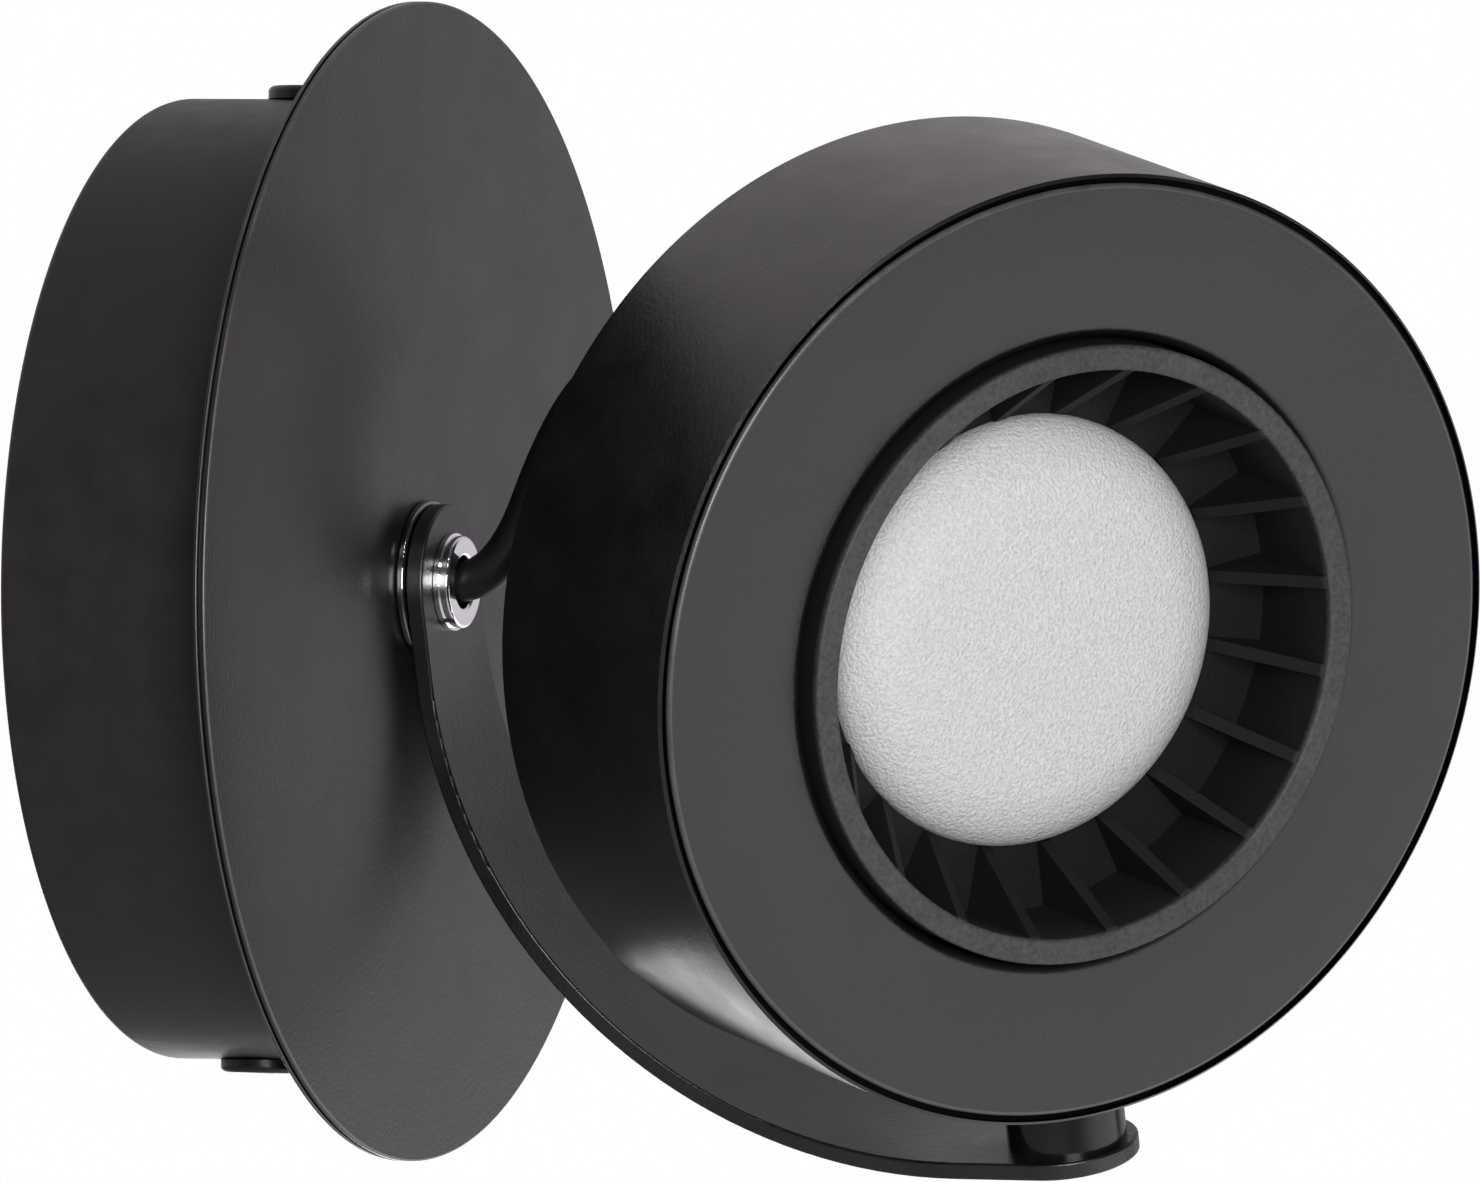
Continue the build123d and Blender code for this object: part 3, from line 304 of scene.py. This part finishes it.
for finish, nodes in wears.items():
    for node in nodes:
        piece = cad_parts[node]
        piece.data.materials.clear()
        piece.data.materials.append(materials[finish])
print("carried-over pieces dressed")

turning = {"sharpAngle": 32, "mergeDistance": 1e-7}


# a turned piece: runs of (radius, level) points, each run in its own finish, carried round an axis
# a face between two runs of unlike finish takes the first finish
def turnedPiece(name, runs, origin, axis, steps):
    first = axis.orthogonal().normalized()
    second = axis.cross(first)
    section = [point for finish, points in runs for point in points]
    worn = [finish for finish, points in runs for point in points]
    used = list(dict.fromkeys(worn))
    count = len(section)
    shape = bmesh.new()
    rings = []
    for step in range(steps):
        angle = 2 * math.pi * step / steps
        outward = first * math.cos(angle) + second * math.sin(angle)
        rings.append([shape.verts.new((origin + outward * radius + axis * level) * mm) for radius, level in section])
    for step, ring in enumerate(rings):
        following = rings[(step + 1) % steps]
        for spot in range(count):
            beyond = (spot + 1) % count
            face = shape.faces.new((ring[spot], following[spot], following[beyond], ring[beyond]))
            face.material_index = used.index(worn[spot]) if worn[spot] == worn[beyond] else 0
            face.smooth = True
    bmesh.ops.remove_doubles(shape, verts=shape.verts, dist=turning["mergeDistance"])
    bmesh.ops.recalc_face_normals(shape, faces=shape.faces)
    mesh = bpy.data.meshes.new(name)
    shape.to_mesh(mesh)
    shape.free()
    mesh.set_sharp_from_angle(angle=math.radians(turning["sharpAngle"]))
    for finish in used:
        mesh.materials.append(materials[finish])
    piece = bpy.data.objects.new(name, mesh)
    bpy.context.scene.collection.objects.link(piece)
    return piece


# points of a round corner, from one angle to another; radius may be (wide, high)
def roundCorner(centre, radius, start, end, steps=8):
    wide, high = radius if isinstance(radius, tuple) else (radius, radius)
    angles = [math.radians(start + (end - start) * step / steps) for step in range(steps + 1)]
    return [(centre[0] + wide * math.cos(angle), centre[1] + high * math.sin(angle)) for angle in angles]


# base cup: open at the wall, with its edge there rounded
wallCentre = Vector((0, 0, 0))
cup = {"radius": 38.5, "bore": 37.5, "depth": 19.8, "floor": 18.8, "hole": 3.05, "edge": 0.7, "steps": 400}
cupShell = turnedPiece("cupShell", [
    ("cupCoat", [(cup["hole"], cup["floor"]), (cup["bore"], cup["floor"]), (cup["bore"], 0.0)]),
    ("cupCoat", roundCorner((cup["radius"] - cup["edge"], cup["edge"]), cup["edge"], 270, 360)),
    ("cupCoat", [(cup["radius"], cup["depth"]), (cup["hole"], cup["depth"])]),
], wallCentre, out, cup["steps"])
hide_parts("base_cup")
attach(cupShell, "base")

# cover plate: two lips round its rim, a painted highlight on a rounded edge of each, with a fine groove between them
plate = {"radius": 46.35, "hole": 3.05, "back": 19.8, "front": 20.8, "edge": 0.1, "frontEdge": 0.18,
         "grooveBack": 20.1, "grooveFront": 20.35, "grooveFloor": 45.85, "steps": 400}
lipRadius = plate["radius"] - plate["edge"]
frontCorner = (plate["radius"] - plate["frontEdge"], plate["front"] - plate["frontEdge"])
coverPlate = turnedPiece("coverPlate", [
    ("blackCoat", [(plate["hole"], plate["front"]), (plate["hole"], plate["back"])]),
    ("blackCoat", roundCorner((lipRadius, plate["back"] + plate["edge"]), plate["edge"], 270, 360)),
    ("paintedEdgeHighlight", roundCorner((lipRadius, plate["grooveBack"] - plate["edge"]), plate["edge"], 0, 90)),
    ("blackCoat", [(plate["grooveFloor"], plate["grooveBack"]), (plate["grooveFloor"], plate["grooveFront"])]),
    ("blackCoat", roundCorner((lipRadius, plate["grooveFront"] + plate["edge"]), plate["edge"], 270, 360)),
    ("paintedEdgeHighlight", roundCorner(frontCorner, plate["frontEdge"], 0, 90)),
], wallCentre, out, plate["steps"])
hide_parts("front_plate")
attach(coverPlate, "base")
print("base cup and cover plate turned")

# drum: thin chamfered lip, shadow groove round the face, painted highlight line on the face's edge, rounded mouth
drum = {"radius": 38.4, "bore": 37.4, "rear": -14.9, "front": 9.4, "faceBack": 8.2, "edge": 0.55,
        "lipFront": 9.27, "chamfer": 0.25, "chamferSpots": (0.0, 0.06, 0.94, 1.0),    # doubled ends keep it flat
        "groove": 38.15, "shadeFrom": 0.03, "shadeTo": 0.385, "grooveFloor": 8.6,
        "disc": 37.65, "discEdge": 0.35, "mouth": 25.3, "mouthEdge": 0.9, "steps": 320}
rearCorner = (drum["radius"] - drum["edge"], drum["rear"] + drum["edge"])
discCorner = (drum["disc"] - drum["discEdge"], drum["front"] - drum["discEdge"])
mouthCorner = (drum["mouth"] + drum["mouthEdge"], drum["front"] - drum["mouthEdge"])
drumShell = turnedPiece("drumShell", [
    ("blackCoat", [(drum["bore"], drum["faceBack"]), (drum["bore"], drum["rear"])]),
    ("blackCoat", roundCorner(rearCorner, drum["edge"], 270, 360)),
    ("blackCoat", [(drum["groove"] + drum["chamfer"] * (1 - share), drum["lipFront"] - drum["chamfer"] * (1 - share))
                   for share in drum["chamferSpots"]]),
    ("gapShade", [(drum["groove"], drum["lipFront"] - drum["shadeFrom"]), (drum["groove"], drum["grooveFloor"]),
                  (drum["disc"], drum["grooveFloor"]), (drum["disc"], drum["front"] - drum["shadeTo"])]),
    ("paintedEdgeHighlight", roundCorner(discCorner, drum["discEdge"], 0, 90)),
    ("blackCoat", roundCorner(mouthCorner, drum["mouthEdge"], 90, 180)),
    ("blackCoat", [(drum["mouth"], drum["faceBack"])]),
], headCentre, aim, drum["steps"])
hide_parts("head_shell")
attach(drumShell, "head")

# diffuser: nearly flat in the middle, falling away over a round shoulder to its rim
lens = {"radius": 17.5, "seat": 0.25, "rim": 1.1, "shoulder": (6.5, 3.7), "shoulderEnd": 78,
        "shoulderSteps": 14, "crown": 5.0, "crownSpots": (0.85, 0.6, 0.35, 0.0), "wall": 1.2, "steps": 240}
lensTop = lens["rim"] + lens["shoulder"][1]
lensFlat = lens["radius"] - lens["shoulder"][0]
diffuserLens = turnedPiece("diffuserLens", [
    ("diffuserFrost", [(lens["radius"] - lens["wall"], lens["seat"]), (lens["radius"], lens["seat"])]),
    ("diffuserFrost", roundCorner((lensFlat, lens["rim"]), lens["shoulder"], 0, lens["shoulderEnd"],
                                  lens["shoulderSteps"])),
    ("diffuserFrost", [(lensFlat * share, lens["crown"] - (lens["crown"] - lensTop) * share ** 2)
                       for share in lens["crownSpots"]]),
    ("diffuserFrost", [(0.0, lens["crown"] - lens["wall"]), (lensFlat, lensTop - lens["wall"])]),
], headCentre, aim, lens["steps"])
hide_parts("diffuser")
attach(diffuserLens, "head")
print("drum and diffuser turned")

# flex: out of the bolt's bore, up and round into the back of the head
flexCable = {
    "radius": 1.65 * mm,
    "route": [armPoint(12.0, 0, 0), armPoint(19.4, 0, 0), armPoint(27.4, 0, 0), armPoint(31.6, -11.5, -5.5),
              armPoint(32.4, -13.4, -16.8), armPoint(41.3, -23.3, -23.0), headPoint(0, 31.2, -23.0),
              headPoint(0, 31.2, -10.5)],
    "smooth": 16, "round": 8,    # steps along and round the tube
    "bendFrom": armPoint(27.4, 0, 0),
    "bendTo": headPoint(0, 31.2, -17.0),
}


# mesh of a smooth curve near the route's points, a bare line where the bevel is 0
def routeCurve(name, points, bevel):
    data = bpy.data.curves.new(name, "CURVE")
    data.dimensions = "3D"
    data.resolution_u = flexCable["smooth"]
    data.bevel_depth = bevel
    data.bevel_resolution = flexCable["round"]
    data.use_fill_caps = True
    spline = data.splines.new("NURBS")
    spline.points.add(len(points) - 1)
    for spot, point in zip(spline.points, points):
        spot.co = (*point, 1)
    spline.order_u = 3
    spline.use_endpoint_u = True
    curve = bpy.data.objects.new(name, data)
    bpy.context.scene.collection.objects.link(curve)
    bpy.context.view_layer.update()
    mesh = bpy.data.meshes.new_from_object(curve.evaluated_get(bpy.context.evaluated_depsgraph_get()))
    bpy.data.objects.remove(curve)
    bpy.data.curves.remove(data)
    return mesh


lineMesh = routeCurve("flexLine", flexCable["route"], 0.0)
flexMesh = routeCurve("flexTube", flexCable["route"], flexCable["radius"])
for face in flexMesh.polygons:
    face.use_smooth = True
flexTube = bpy.data.objects.new("flexTube", flexMesh)
bpy.context.scene.collection.objects.link(flexTube)
flexMesh.materials.clear()
flexMesh.materials.append(materials["flexSheath"])
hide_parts("flex")
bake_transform(flexTube)

# studio: pale floor well below the lamp, white surroundings, three soft lamps
studio = {
    "floorLevel": -1.2,
    "floorSize": 24.0,
    "floorColour": (0.86, 0.86, 0.86, 1),
    "floorGlow": 1.1,
    "floorWhite": 0.6,
    "floorAxis": (0.7, -0.7, 0.0),
    "floorRise": (-0.3, 2.25),
    "ambient": 0.22,
    "backdropAxis": (0.6, 0.75, 0.25),
    "backdropGlow": [(0.0, 0.05), (0.5, 0.08), (0.64, 0.62), (0.84, 0.37), (0.92, 0.72)],    # what the coat mirrors
    "backdropGreen": 0.95,
    "target": (0, -0.05, 0),
    "lamps": {
        "frontSoftbox": dict(spot=(-1.36, -0.82, 0.04), size=0.7, power=19.5),
        "rimSoftbox": dict(spot=(0.98, 0.46, -0.15), size=0.5, power=2.8),
        "smallSoftbox": dict(spot=(-1.03, -0.62, 0.92), size=0.2, power=1.5),
    },
}
floorMesh = bpy.data.meshes.new("paleFloor")
half = studio["floorSize"] / 2
corners = [(-half, -half), (half, -half), (half, half), (-half, half)]
floorMesh.from_pydata([(x, y, studio["floorLevel"]) for x, y in corners], [], [(0, 1, 2, 3)])
floor = bpy.data.objects.new("paleFloor", floorMesh)
bpy.context.scene.collection.objects.link(floor)
floorPaint = bpy.data.materials.new("floorPaint")
floorTree = nodeTree(floorPaint)
link = floorTree.links.new
floorShader = addNode(floorTree, "ShaderNodeBsdfDiffuse")
floorShader.inputs["Color"].default_value = studio["floorColour"]
floorGlow = addNode(floorTree, "ShaderNodeEmission")
floorSum = addNode(floorTree, "ShaderNodeAddShader")
floorRays = addNode(floorTree, "ShaderNodeLightPath")
floorWhite = addNode(floorTree, "ShaderNodeEmission", Strength=studio["floorWhite"])
floorPale = addNode(floorTree, "ShaderNodeAddShader")
floorPlace = addNode(floorTree, "ShaderNodeTexCoord")
floorAway = addNode(floorTree, "ShaderNodeVectorMath", operation="DOT_PRODUCT")
floorAway.inputs[1].default_value = studio["floorAxis"]
floorRise = addNode(floorTree, "ShaderNodeMapRange", interpolation_type="SMOOTHSTEP")
floorRise.inputs["From Min"].default_value, floorRise.inputs["From Max"].default_value = studio["floorRise"]
floorRise.inputs["To Max"].default_value = studio["floorGlow"]
link(floorPlace.outputs["Object"], floorAway.inputs[0])
link(floorAway.outputs["Value"], floorRise.inputs["Value"])
link(floorRise.outputs["Result"], floorGlow.inputs["Strength"])
floorMirrored = addNode(floorTree, "ShaderNodeMixShader")
floorSeen = addNode(floorTree, "ShaderNodeMixShader")
floorOutput = addNode(floorTree, "ShaderNodeOutputMaterial")
link(floorShader.outputs["BSDF"], floorSum.inputs[0])
link(floorGlow.outputs["Emission"], floorSum.inputs[1])
link(floorShader.outputs["BSDF"], floorPale.inputs[0])
link(floorWhite.outputs["Emission"], floorPale.inputs[1])
link(floorRays.outputs["Is Glossy Ray"], floorMirrored.inputs["Fac"])
link(floorShader.outputs["BSDF"], floorMirrored.inputs[1])
link(floorSum.outputs[0], floorMirrored.inputs[2])
link(floorRays.outputs["Is Camera Ray"], floorSeen.inputs["Fac"])
link(floorMirrored.outputs[0], floorSeen.inputs[1])
link(floorPale.outputs[0], floorSeen.inputs[2])
link(floorSeen.outputs[0], floorOutput.inputs["Surface"])
floorMesh.materials.append(floorPaint)

# world: dim light all round, a graded backdrop that only the gloss mirrors, white where the camera looks
world = bpy.data.worlds.new("whiteStudio")
bpy.context.scene.world = world
sky = nodeTree(world)
link = sky.links.new
ambient = addNode(sky, "ShaderNodeBackground", Strength=studio["ambient"])
ambient.inputs["Color"].default_value = (1, 1, 1, 1)
backdrop = addNode(sky, "ShaderNodeBackground", Strength=1.0)
backdrop.inputs["Color"].default_value = (1, 1, 1, 1)
mirrored = addNode(sky, "ShaderNodeBackground", Strength=1.0)
ray = addNode(sky, "ShaderNodeTexCoord")
facing = addNode(sky, "ShaderNodeVectorMath", operation="DOT_PRODUCT")
facing.inputs[1].default_value = studio["backdropAxis"]
spread = addNode(sky, "ShaderNodeMapRange")
spread.inputs["From Min"].default_value = -1.0
glow = addNode(sky, "ShaderNodeValToRGB")
while len(glow.color_ramp.elements) < len(studio["backdropGlow"]):
    glow.color_ramp.elements.new(0.5)
for stop, (position, level) in zip(glow.color_ramp.elements, studio["backdropGlow"]):
    stop.position = position
    stop.color = (level, level * studio["backdropGreen"], level, 1)
link(ray.outputs["Generated"], facing.inputs[0])
link(facing.outputs["Value"], spread.inputs["Value"])
link(spread.outputs["Result"], glow.inputs["Fac"])
link(glow.outputs["Color"], mirrored.inputs["Color"])
rays = addNode(sky, "ShaderNodeLightPath")
seen = addNode(sky, "ShaderNodeMath", operation="MAXIMUM")
mixIn = addNode(sky, "ShaderNodeMixShader")
mixSeen = addNode(sky, "ShaderNodeMixShader")
skyOutput = addNode(sky, "ShaderNodeOutputWorld")
link(rays.outputs["Is Glossy Ray"], mixIn.inputs["Fac"])
link(ambient.outputs[0], mixIn.inputs[1])
link(mirrored.outputs[0], mixIn.inputs[2])
link(rays.outputs["Is Camera Ray"], seen.inputs[0])
link(rays.outputs["Is Transmission Ray"], seen.inputs[1])
link(seen.outputs[0], mixSeen.inputs["Fac"])
link(mixIn.outputs[0], mixSeen.inputs[1])
link(backdrop.outputs[0], mixSeen.inputs[2])
link(mixSeen.outputs[0], skyOutput.inputs["Surface"])

target = Vector(studio["target"])
for name, lamp in studio["lamps"].items():
    light = bpy.data.lights.new(name, "AREA")
    light.shape = "SQUARE"
    light.size = lamp["size"]
    light.energy = lamp["power"]
    holder = bpy.data.objects.new(name, light)
    bpy.context.scene.collection.objects.link(holder)
    holder.location = lamp["spot"]
    holder.rotation_euler = (target - Vector(lamp["spot"])).to_track_quat("-Z", "Y").to_euler()
print("studio lit")
